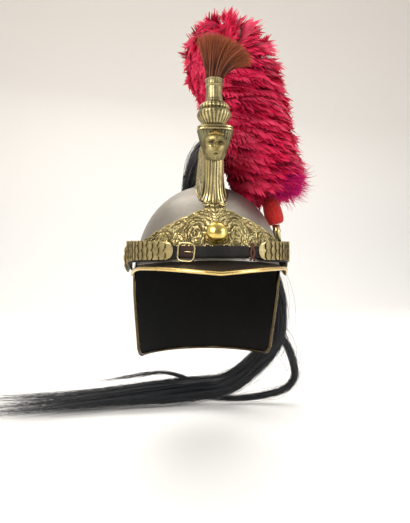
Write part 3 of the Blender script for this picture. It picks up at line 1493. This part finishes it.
# %% Tuft
TUFT_HAIRS = 4900
TUFT_STEPS = 7
TUFT_FOOT = holder_high[2] - 1.5
TUFT_LENGTH = 46.5
TUFT_DEPTH = 19.0
TUFT_MIDDLE = math.radians(22)
TUFT_SPREAD = math.radians(34)
TUFT_ROOT_RADIUS = 8.2
TUFT_STRAY = 0.8
TUFT_SEED = 11


def tuft_paths():
    draw = np.random.default_rng(TUFT_SEED)
    angle = draw.uniform(0, TURN, TUFT_HAIRS)
    reach = np.sqrt(draw.uniform(0, 1, TUFT_HAIRS))
    across, deep = reach * np.cos(angle), reach * np.sin(angle)
    lean = TUFT_MIDDLE + TUFT_SPREAD * across + draw.normal(0, 0.05, TUFT_HAIRS)
    length = TUFT_LENGTH * draw.uniform(0.86, 1.03, TUFT_HAIRS) * (1 - 0.09 * across) * (1 - 0.1 * deep ** 2)
    share = np.linspace(0, 1, TUFT_STEPS)[None, :]
    bent = lean[:, None] * (0.35 + 0.65 * share)
    x = TUFT_ROOT_RADIUS * across[:, None] + length[:, None] * share * np.sin(bent)
    y = TUFT_ROOT_RADIUS * deep[:, None] + (TUFT_DEPTH - TUFT_ROOT_RADIUS) * deep[:, None] * share ** 1.3
    y = y + draw.normal(0, TUFT_STRAY, (TUFT_HAIRS, 1)) * share
    z = TUFT_FOOT + length[:, None] * share * np.cos(bent)
    return np.stack([x + TOWER[0], y + TOWER[1], z], -1)


strands_piece(
    "tuft_bristles", tuft_paths(), 0.5, fibre["tuft_hair"], seed=12, taper=0.35, nodes=["tuft"],
)


# %% [markdown]
# A long lock of horsehair is drawn as a spine with a section at each place. `carried` moves two crosswise
# directions along the spine without twisting them, so that a strand can keep its own place in the lock
# from root to tip, and only stray from it a little.

# %% Locks along a spine
def finer(points, steps):
    """A smooth curve of evenly shared steps through a few places"""
    curve = smooth_profile(points, 12)
    gaps = np.concatenate([[0], np.cumsum(np.linalg.norm(np.diff(curve[:, :3], axis=0), axis=1))])
    places = np.linspace(0, gaps[-1], steps)
    return np.stack([np.interp(places, gaps, curve[:, k]) for k in range(curve.shape[1])], -1)


def carried(path):
    """Tangents and two sides along a path, carried without twist"""
    tangents = np.gradient(path, axis=0)
    tangents /= np.linalg.norm(tangents, axis=1, keepdims=True)
    out = np.array([1.0, 0.0, 0.0])
    outs = []
    for tangent in tangents:
        out = out - tangent * out.dot(tangent)
        out /= np.linalg.norm(out)
        outs.append(out)
    outs = np.array(outs)
    return tangents, outs, np.cross(tangents, outs)


def read_at(table, places):
    """Rows of a table at places between its rows"""
    steps = np.arange(len(table))
    return np.stack([np.interp(places, steps, table[:, k]) for k in range(table.shape[1])], -1)


LOCK_PLACES = 200
LOCK_WAVES = (2.0, 5.0, 11.0)


def lock_paths(spine, count, steps, seed, stray, start_spread, shortest):
    """Strands through a lock; a spine row is x, y, z, half width, half depth in millimetres"""
    draw = np.random.default_rng(seed)
    fine = finer(spine, LOCK_PLACES)
    _, outs, ups = carried(fine[:, :3])
    angle = draw.uniform(0, TURN, count)
    reach = np.sqrt(draw.uniform(0.02, 1, count))
    last = shortest + (1 - shortest) * draw.uniform(0, 1, count) ** 2.6
    share = np.linspace(0, 1, steps)[None, :] * last[:, None]
    places = share * (len(fine) - 1)
    line, out, up = (read_at(table, places) for table in (fine, outs, ups))
    turn = angle[:, None] + draw.normal(0, 0.5, (count, 1)) * share
    spread = start_spread + (1 - start_spread) * share
    paths = line[..., :3] + out * (line[..., 3:4] * (reach[:, None] * spread * np.cos(turn))[..., None])
    paths += up * (line[..., 4:5] * (reach[:, None] * spread * np.sin(turn))[..., None])
    for wave in LOCK_WAVES:
        phase = draw.uniform(0, TURN, (count, 1, 3))
        lean = draw.normal(0, stray * 2.2 / wave, (count, 1, 3))
        paths += lean * np.sin(share[..., None] * wave * math.pi + phase)
    return paths


# %% [markdown]
# The mane runs along the top of the comb, hangs down behind the helmet on the wearer's left, and its end
# sweeps over the floor to the wearer's right. Some of its hair leaves it in a loose loop. Three pieces
# with their own random draws share the hair, so that none has too many faces.

# %% Mane
MANE_SPINE = [
    (0, -21, 149, 5.5, 3.4), (-1.8, 2, 149, 11, 10), (-4.5, 40, 144, 14.5, 13.5), (-5.4, 80, 128, 20.5, 14.5),
    (-1.8, 111, 90, 27, 14.5), (34, 131, 30, 29, 14.5), (94, 135, -7, 25, 15), (117, 133, -45, 20, 15),
    (124, 131, -86, 16, 15), (118, 133, -127, 15, 15), (88, 150, -170, 15, 15), (45, 167, -204, 17, 18),
    (-9, 173, -212, 20, 19), (-66, 169, -215, 19, 20), (-147, 166, -219, 14, 24), (-217, 161, -222, 12, 32),
    (-280, 156, -224, 12, 44), (-352, 154, -226, 12, 54),
]
LOOP_SPINE = [
    (124, 131, -82, 3.5, 3.5), (133, 143, -112, 4.5, 4.5), (152, 153, -144, 4.5, 4.5),
    (163, 160, -173, 4.5, 4.5), (165, 165, -197, 4.5, 4.5), (149, 169, -216, 4.5, 4.5),
    (115, 172, -226, 4.5, 4.5), (77, 175, -231, 4.2, 4.2), (27, 175, -230, 4, 4), (-18, 173, -224, 3, 3),
]
STRAY_SPINE = [
    (-7, 171, -197, 2.6, 2.6), (-60, 169, -182, 2.4, 2.2), (-122, 167, -188, 1.8, 1.8),
    (-182, 165, -196, 1.4, 1.4),
]
MANE_PIECES = 3
MANE_HAIRS = 2050
MANE_STEPS = 28
MANE_HAIR_WIDTH = 0.6
MANE_STRAY = 2.6
MANE_START = 0.85
MANE_SHORTEST = 0.55
MANE_SEEDS = (21, 31)
LOOSE_STEPS = 24
# Loose hair: spine, strands, steps, seed, stray, spread at its start and shortest strand
LOOSE_LOCKS = [
    (LOOP_SPINE, 380, LOOSE_STEPS, 41, 1.8, 1.0, 0.8),
    (STRAY_SPINE, 90, LOOSE_STEPS, 42, 1.6, 1.0, 0.7),
    (MANE_SPINE[4:], 70, LOOSE_STEPS, 44, 11.0, 1.2, 0.4),
    (LOOP_SPINE, 30, LOOSE_STEPS, 45, 8.0, 1.3, 0.5),
]


def laid(paths):
    """Keeps hair above the floor and off the dome"""
    paths[..., 2] = np.maximum(paths[..., 2], FLOOR + 0.5)
    grown = np.array([HALF_WIDTH, HALF_LENGTH, SKULL_HEIGHT]) + 1.2
    inside = np.linalg.norm(paths / grown, axis=-1)
    above = (paths[..., 2] > 0) & (inside < 1)
    paths[above] /= inside[above][:, None]
    return paths


for part in range(MANE_PIECES):
    path_seed, strand_seed = (seed + part for seed in MANE_SEEDS)
    hair = lock_paths(MANE_SPINE, MANE_HAIRS, MANE_STEPS, path_seed, MANE_STRAY, MANE_START, MANE_SHORTEST)
    strands_piece(
        "mane_hair_%d" % (part + 1), laid(hair), MANE_HAIR_WIDTH, fibre["mane_hair"],
        seed=strand_seed, taper=0.3, nodes=["mane"] if part == 0 else [],
    )
loose = np.concatenate([laid(lock_paths(*lock)) for lock in LOOSE_LOCKS])
strands_piece("mane_loose_locks", loose, 0.5, fibre["mane_hair"], seed=43)


# %% [markdown]
# Light would shine through strands alone, so a dark core fills the middle of the mane.

# %% Mane core
MANE_CORE_END = (-100, 167, -222, 3, 3)
MANE_CORE_SHARE = 0.66


def core_piece(name, spine, share, sides, steps, material):
    """A smooth dark solid inside a lock or plume, as wide as a share of it"""
    fine = finer(spine, steps)
    _, outs, ups = carried(fine[:, :3])
    angle = np.arange(sides) / sides * TURN
    rings = [
        at[:3] + share * (at[3] * np.cos(angle)[:, None] * out + at[4] * np.sin(angle)[:, None] * up)
        for at, out, up in zip(fine, outs, ups)
    ]
    mesh = tube_mesh(name, laid(np.array(rings)))
    for attribute in ("tint", "along"):
        give(mesh, attribute, np.zeros(len(mesh.vertices)))
    return dress(link(mesh, name), material)


mane_inside = MANE_SPINE[:13] + [MANE_CORE_END]
core_piece("mane_core", mane_inside, MANE_CORE_SHARE, 20, 70, fibre["mane_hair"])

# %% [markdown]
# The plume stands on an olive of red wool, which sits in the socket's mouth. The olive is a turned shape
# with a soft uneven nap.

# %% Olive
SOCKET_LEAN = math.radians(7)
OLIVE_LEAN = math.radians(14)
SOCKET_FOOT = np.array([HALF_WIDTH + 3.6, -4.0, 14.0])
SOCKET_LENGTH = 38.0
OLIVE_RADIUS = 11.6
OLIVE_LENGTH = 33.0


def leaned(foot, lean, distance):
    return foot + np.array([-math.sin(lean), 0, math.cos(lean)]) * distance


OLIVE_FOOT = leaned(SOCKET_FOOT, SOCKET_LEAN, SOCKET_LENGTH + 0.6)
# Shares of the radius and of the length
OLIVE_PROFILE = [
    (0.45, 0), (0.72, 0.02), (0.9, 0.08), (0.985, 0.18), (1.0, 0.32), (0.99, 0.5), (0.95, 0.68),
    (0.87, 0.84), (0.76, 0.94), (0.6, 1.0),
]
OLIVE_SIDES = 120


def nap(angle, share):
    return 0.16 * np.sin(angle * 13 + 9 * share) + 0.13 * np.sin(angle * 31 - 17 * share)


olive_profile = smooth_profile([(r * OLIVE_RADIUS, u * OLIVE_LENGTH) for r, u in OLIVE_PROFILE], 5)
olive_place = placed(OLIVE_FOOT, leaned(np.zeros(3), OLIVE_LEAN, 1.0))
olive = link(spun_mesh("olive", olive_profile, olive_place, OLIVE_SIDES, nap), "plume_olive_wool")
dress(olive, WOOL, ["plume_olive"])


# %% [markdown]
# A feather is a shaft with a row of barbs on each side. The barbs lean forwards, lie close together
# and end raggedly. Five feathers are enough: each differs in length, width and in the barbs that it has
# lost, and the plume repeats them at many sizes and angles.

# %% One feather
FEATHER_KINDS = 5
FEATHER_BARBS = 11
FEATHER_CURL = 0.3
FEATHER_SEED = 100
FEATHER_WIDTH = 0.25
WIDTH_STEP = 0.035
SHAFT_LIFT = 0.006
FIRST_BARB = 0.06
BARB_SPAN = 0.9
BARB_THICKNESS = 0.98 * BARB_SPAN / (FEATHER_BARBS - 1)
BARB_LENGTHS = (0.85, 1.15)
LOST_BARBS = 0.1
# Degrees from the shaft at its foot, how many fewer at its tip, and the stray
BARB_LEAN, LEAN_LESS, LEAN_STRAY = 56, 20, 6
# Places along a barb with the share of its thickness that it keeps there
BARB_SECTIONS = ((0, 1.0), (0.55, 1.0), (1.0, 0.45))
# Places along the shaft with half its width there
SHAFT_SECTIONS = ((0, 0.012), (0.5, 0.009), (0.98, 0.003))


def feather_mesh(kind):
    """A feather of unit length along +X, its face towards +Z"""
    draw = np.random.default_rng(FEATHER_SEED + kind)
    points, faces, along = [], [], []
    width = FEATHER_WIDTH + WIDTH_STEP * (kind % 3)
    for side in (-1, 1):
        for k in range(FEATHER_BARBS):
            share = FIRST_BARB + BARB_SPAN * k / (FEATHER_BARBS - 1)
            if draw.uniform() < LOST_BARBS * share:
                continue
            fullness = 0.45 + 0.9 * math.sin(min(share * 1.25, 1) * math.pi * 0.72)
            length = width * fullness * draw.uniform(*BARB_LENGTHS)
            lean = math.radians(BARB_LEAN - LEAN_LESS * share + draw.uniform(-LEAN_STRAY, LEAN_STRAY))
            foot = np.array([share * 0.92, 0])
            ahead_of = np.array([math.cos(lean), side * math.sin(lean)])
            start = len(points)
            for step, narrow in BARB_SECTIONS:
                middle = foot + ahead_of * length * step * (1 + 0.1 * step)
                for edge in (-0.5, 0.5):
                    x, y = middle[0] + edge * BARB_THICKNESS * narrow, middle[1]
                    points.append((x, y, -0.25 * width * abs(y / width) ** 1.5 - FEATHER_CURL * x * x))
                    along.append(min(1.0, 0.25 * share + 0.75 * step))
            for step in (0, 2):
                faces.append((start + step, start + step + 1, start + step + 3, start + step + 2)[::side])
    start = len(points)
    for share, half in SHAFT_SECTIONS:
        for edge in (-1, 1):
            points.append((share, edge * half, SHAFT_LIFT - FEATHER_CURL * share * share))
            along.append(0.9)
    faces += [(start, start + 2, start + 3, start + 1), (start + 2, start + 4, start + 5, start + 3)]
    mesh = bpy.data.meshes.new("feather")
    mesh.from_pydata(points, [], faces)
    give(mesh, "along", along)
    mesh.shade_smooth()
    return mesh


# %% [markdown]
# A plume holds thousands of feathers, so they aren't modelled one by one. A second tree plants the five
# feathers on points, and every point says where its feather aims, where its face looks, how long it is
# and which of the five it takes.

# %% Feather tree
def feather_tree():
    """Instances the feathers on points that carry aim, face, size, kind and tint"""
    inputs = [
        ("Roots", "Geometry", None), ("Feathers", "Collection", None), ("Length", "Float", None),
        ("Material", "Material", None),
    ]
    tree, given, result = group_tree("feathers", inputs, [("Plume", "Geometry")], "Geometry")
    feathers = add(tree, "GeometryNodeCollectionInfo")
    feed(tree, feathers, Collection=given["Feathers"], Separate_Children=True, Reset_Children=True)
    aimed = add(tree, "FunctionNodeAxesToRotation", primary_axis="X", secondary_axis="Z")
    aim, face = (named(tree, name, "FLOAT_VECTOR") for name in ("aim", "face"))
    feed(tree, aimed, Primary_Axis=aim, Secondary_Axis=face)
    size = reckon(tree, "MULTIPLY", named(tree, "size"), given["Length"])
    planted = add(tree, "GeometryNodeInstanceOnPoints")
    feed(tree, planted, Points=given["Roots"], Rotation=aimed.outputs[0], Scale=size)
    kind = named(tree, "kind", "INT")
    feed(tree, planted, Instance=feathers.outputs[0], Pick_Instance=True, Instance_Index=kind)
    feed(tree, result, Plume=realized_and_painted(tree, planted.outputs[0], given["Material"]))
    return tree


FEATHERS = feather_tree()

# %% [markdown]
# The plume's shape is a spine that rises beside the comb, bends over it and droops on the other side.
# The feathers are tied on in rows, one above another, like frills. Each row stands out round the spine
# and sweeps towards the wearer's left, and its curled tips catch the light while its roots stay dark,
# which gives the plume its wavy bands.

# %% Rows of feathers
# Each place: x, y, z and the plume's radius there
PLUME_SPINE = [
    (80, -4, 92, 14), (78, -2, 102, 38), (72, 1, 120, 50), (65, 6, 150, 51), (59, 11, 190, 49),
    (54, 15, 228, 48), (48, 16, 262, 46), (33, 15, 284, 42), (10, 12, 284, 35), (-2, 9, 262, 27),
    (-4, 7, 238, 21), (0, 6, 218, 13),
]
PLUME_PLACES = 240
PLUME_ROWS = 31
PLUME_ROW_FEATHERS = 76
PLUME_LENGTH = 33.0
PLUME_PIECES = 2
PLUME_SEED = 7
PLUME_SWEEP = np.array([0.62, -0.05, 0.04])
AROUND_SWEEP = 0.42
AIM_STRAY = 0.09
FACE_STRAY = 0.22
DROOP_START = 0.55
DROOP_SPAN = 0.25
# Radii of the plume and the sizes that its feathers have there
SIZE_BY_RADIUS = ([12, 30, 50], [0.5, 0.8, 1.0])


def plume_roots(part):
    """Points with the aim, face, size, kind and tint of every feather in one half of the plume"""
    draw = np.random.default_rng(PLUME_SEED + part)
    fine = finer(PLUME_SPINE, PLUME_PLACES)
    tangents, outs, ups = carried(fine[:, :3])
    row = np.repeat(np.arange(part, PLUME_ROWS, PLUME_PIECES), PLUME_ROW_FEATHERS)
    count = len(row)
    angle = draw.uniform(0, TURN, count)
    wave = 0.34 * np.sin(2 * angle + row * 1.7) + 0.2 * np.sin(5 * angle + row * 2.9)
    share = np.clip((row + 0.5 + wave + draw.normal(0, 0.06, count)) / PLUME_ROWS, 0, 1)
    places = share * (len(fine) - 1)
    line, tangent, out, up = (read_at(table, places) for table in (fine, tangents, outs, ups))
    radius = line[:, 3]
    radial = out * np.cos(angle)[:, None] + up * np.sin(angle)[:, None]
    droop = np.clip((share - DROOP_START) / DROOP_SPAN, 0, 1)[:, None]
    around = np.cross(tangent, radial)
    around *= np.sign(around[:, :1] + 1e-6)
    sweep = (1 - droop) * (PLUME_SWEEP + AROUND_SWEEP * around) + droop * tangent * 0.85
    aim = (0.42 - 0.2 * droop) * radial + sweep - tangent * 0.08 * (1 - droop)
    aim += draw.normal(0, AIM_STRAY, (count, 3))
    aim /= np.linalg.norm(aim, axis=1, keepdims=True)
    face = 0.75 * tangent + 0.6 * radial + draw.normal(0, FACE_STRAY, (count, 3))
    size = draw.uniform(0.72, 1.15, count) * np.interp(radius, *SIZE_BY_RADIUS) * (1 - 0.28 * droop[:, 0])
    reach = radius * draw.uniform(0.9, 1.04, count)
    forward = (radial * aim).sum(1)
    depth = np.clip(reach - forward * size * PLUME_LENGTH, radius * 0.25, radius * 0.82)
    root = line[:, :3] + radial * depth[:, None]
    root -= aim * (size * PLUME_LENGTH * 0.3 * (1 - np.clip(forward, 0, 1)))[:, None]
    mesh = bpy.data.meshes.new("plume_roots")
    mesh.from_pydata((root * MM).tolist(), [], [])
    for name, values in (("aim", aim), ("face", face)):
        attribute = mesh.attributes.new(name, "FLOAT_VECTOR", "POINT")
        attribute.data.foreach_set("vector", values.astype(np.float32).ravel())
    give(mesh, "size", size)
    give(mesh, "tint", np.clip(draw.normal(0.5, 0.3, count) + 0.15 * np.sin(row * 2.1 + 3 * angle), 0, 1))
    kinds = mesh.attributes.new("kind", "INT", "POINT")
    kinds.data.foreach_set("value", draw.integers(0, FEATHER_KINDS, count).astype(np.int32))
    return mesh


# %% Plume
stock = bpy.data.collections.new("feathers")
kinds = [bpy.data.objects.new("feather_%d" % k, feather_mesh(k)) for k in range(FEATHER_KINDS)]
for kind in kinds:
    stock.objects.link(kind)
vane = fibre["feather_vane"]
for part in range(PLUME_PIECES):
    piece = link(plume_roots(part), "plume_feathers_%d" % (part + 1))
    grow(piece, FEATHERS, Feathers=stock, Length=PLUME_LENGTH * MM, Material=vane)
    dress(piece, vane, ["plume"] if part == 0 else [])
for kind in kinds:
    bpy.data.objects.remove(kind)
bpy.data.collections.remove(stock)

# %% [markdown]
# Fluffy magenta down shows at the plume's foot, over the olive. It is made with the strand tree: soft
# threads that start close together and drift outwards.

# %% Down at the foot of the plume
DOWN_THREADS = 2600
DOWN_STEPS = 6
DOWN_FOOT = np.array([86.0, -16.0, 104.0])
DOWN_SPREAD = np.array([7.0, 7.0, 5.0])
DOWN_WAY = np.array([0.8, -0.45, -0.22])
DOWN_BEND = np.array([0.15, 0, 0.05])
DOWN_LENGTHS = (12, 32)
DOWN_SEED = 5


def down_paths():
    draw = np.random.default_rng(DOWN_SEED)
    start = DOWN_FOOT + draw.normal(0, 1, (DOWN_THREADS, 3)) * DOWN_SPREAD
    way = DOWN_WAY + draw.normal(0, 0.45, (DOWN_THREADS, 3))
    way /= np.linalg.norm(way, axis=1, keepdims=True)
    bend = draw.normal(0, 0.3, (DOWN_THREADS, 3)) + DOWN_BEND
    length = draw.uniform(*DOWN_LENGTHS, DOWN_THREADS)[:, None, None]
    share = np.linspace(0, 1, DOWN_STEPS)[None, :, None]
    return start[:, None] + length * (way[:, None] * share + bend[:, None] * share ** 2 * 0.5)


strands_piece("plume_down", down_paths(), 0.7, fibre["feather_down"], seed=6, taper=0.3)


# %% [markdown]
# Feathers alone would let the paper behind them show through, so the plume has a core as the mane has.

# %% Plume core
PLUME_CORE_SHARE = 0.62
plume_inside = [(*place, radius, radius) for *place, radius in PLUME_SPINE]
core_piece("plume_core", plume_inside, PLUME_CORE_SHARE, 24, 60, vane)


# %% [markdown]
# Behind and below the helmet a pale sheet of paper curves up, as in a photographer's studio, a little
# warmer towards its top. Nothing stands near the helmet's sides, so that it can be looked at from
# anywhere.

# %% Stage
PAPER_GAP = 0.6
PAPER_HALF_WIDTH = 3600
PAPER_FRONT = -2600
PAPER_BACK = 1500
PAPER_TOP = 3600
PAPER_BEND = 700
PAPER_BEND_STEPS = 24
PAPER_FLOOR_TONE = colour(0.93, 0.92, 0.90)
PAPER_WALL_TONE = colour(0.96, 0.91, 0.85)


def paper_mesh():
    """A floor that curves up into a wall well behind the helmet"""
    floor = FLOOR - PAPER_GAP
    profile = [(PAPER_FRONT, floor), (PAPER_BACK, floor)]
    for k in range(1, PAPER_BEND_STEPS + 1):
        angle = math.pi / 2 * k / PAPER_BEND_STEPS
        back, up = PAPER_BEND * math.sin(angle), PAPER_BEND * (1 - math.cos(angle))
        profile.append((PAPER_BACK + back, floor + up))
    profile.append((PAPER_BACK + PAPER_BEND, PAPER_TOP))
    rows = [[(x, y, z) for x in (-PAPER_HALF_WIDTH, PAPER_HALF_WIDTH)] for y, z in profile]
    return mesh_of("paper", np.array(rows).reshape(-1, 3), grid_faces(len(profile), 2), outward=False)


def paper_material():
    material, tree, shader, place = new_material("paper", Roughness=0.9)
    parts = add(tree, "ShaderNodeSeparateXYZ")
    tree.links.new(place, parts.inputs[0])
    rise = span(tree, parts.outputs["Z"], 0.0, 1.5)
    feed(tree, shader, Base_Color=mixed(tree, rise, PAPER_FLOOR_TONE, PAPER_WALL_TONE))
    return material


paper = link(paper_mesh(), "paper")
paper.data.materials.append(paper_material())

# %% [markdown]
# One large soft window light from the front left shapes the steel, a weaker cool one fills the right
# side, and a lamp overhead and behind gives the plume its edge. The world is a pale warm grey, so the
# metal always has something soft to reflect, and it is dimmer behind the camera, which gives the
# reflections their shading.

# %% Lights
LIGHTS = {
    "window": {"at": (-1.15, -1.25, 0.95), "size": (1.1, 1.1), "power": 31, "colour": (1.0, 0.965, 0.92)},
    "fill": {"at": (1.35, -0.9, 0.35), "size": (0.8, 1.2), "power": 13, "colour": (0.93, 0.96, 1.0)},
    "top": {"at": (0.15, 0.75, 1.7), "size": (2.4, 1.8), "power": 27, "colour": (1.0, 0.98, 0.95)},
}
LIGHT_AIM = Vector((0.0, 0.0, 0.06))
for name, lamp in LIGHTS.items():
    data = bpy.data.lights.new(name, "AREA")
    data.shape = "RECTANGLE"
    data.size, data.size_y = lamp["size"]
    data.energy = lamp["power"]
    data.color = lamp["colour"]
    light = bpy.data.objects.new(name, data)
    light.location = lamp["at"]
    light.rotation_euler = (LIGHT_AIM - Vector(lamp["at"])).to_track_quat("-Z", "Y").to_euler()
    bpy.context.scene.collection.objects.link(light)

print("lights", sorted(LIGHTS))

# %% World
WORLD_TONE = colour(1.0, 0.975, 0.94)
DIM_STRENGTH = 0.3
FULL_STRENGTH = 0.85

world = bpy.data.worlds.new("studio")
bpy.context.scene.world = world
world.use_nodes = True
sky = world.node_tree
background = sky.nodes["Background"]
direction = add(sky, "ShaderNodeSeparateXYZ")
sky.links.new(add(sky, "ShaderNodeTexCoord").outputs["Generated"], direction.inputs[0])
strength = span(sky, direction.outputs["Y"], -0.9, 0.1, DIM_STRENGTH, FULL_STRENGTH)
feed(sky, background, Color=WORLD_TONE, Strength=strength)
bpy.context.scene.view_settings.view_transform = "Standard"
print("world strength", DIM_STRENGTH, "to", FULL_STRENGTH)

# %% [markdown]
# The last cell keeps both boxes, so that the dressed helmet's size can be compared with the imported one.

# %% Sizes and finish
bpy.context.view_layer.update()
made_triangles = sum(
    sum(len(face.vertices) - 2 for face in piece.data.polygons)
    for piece in bpy.data.objects if piece.type == "MESH" and piece.name not in frame["nodes"]
)
print("triangles made here", made_triangles)
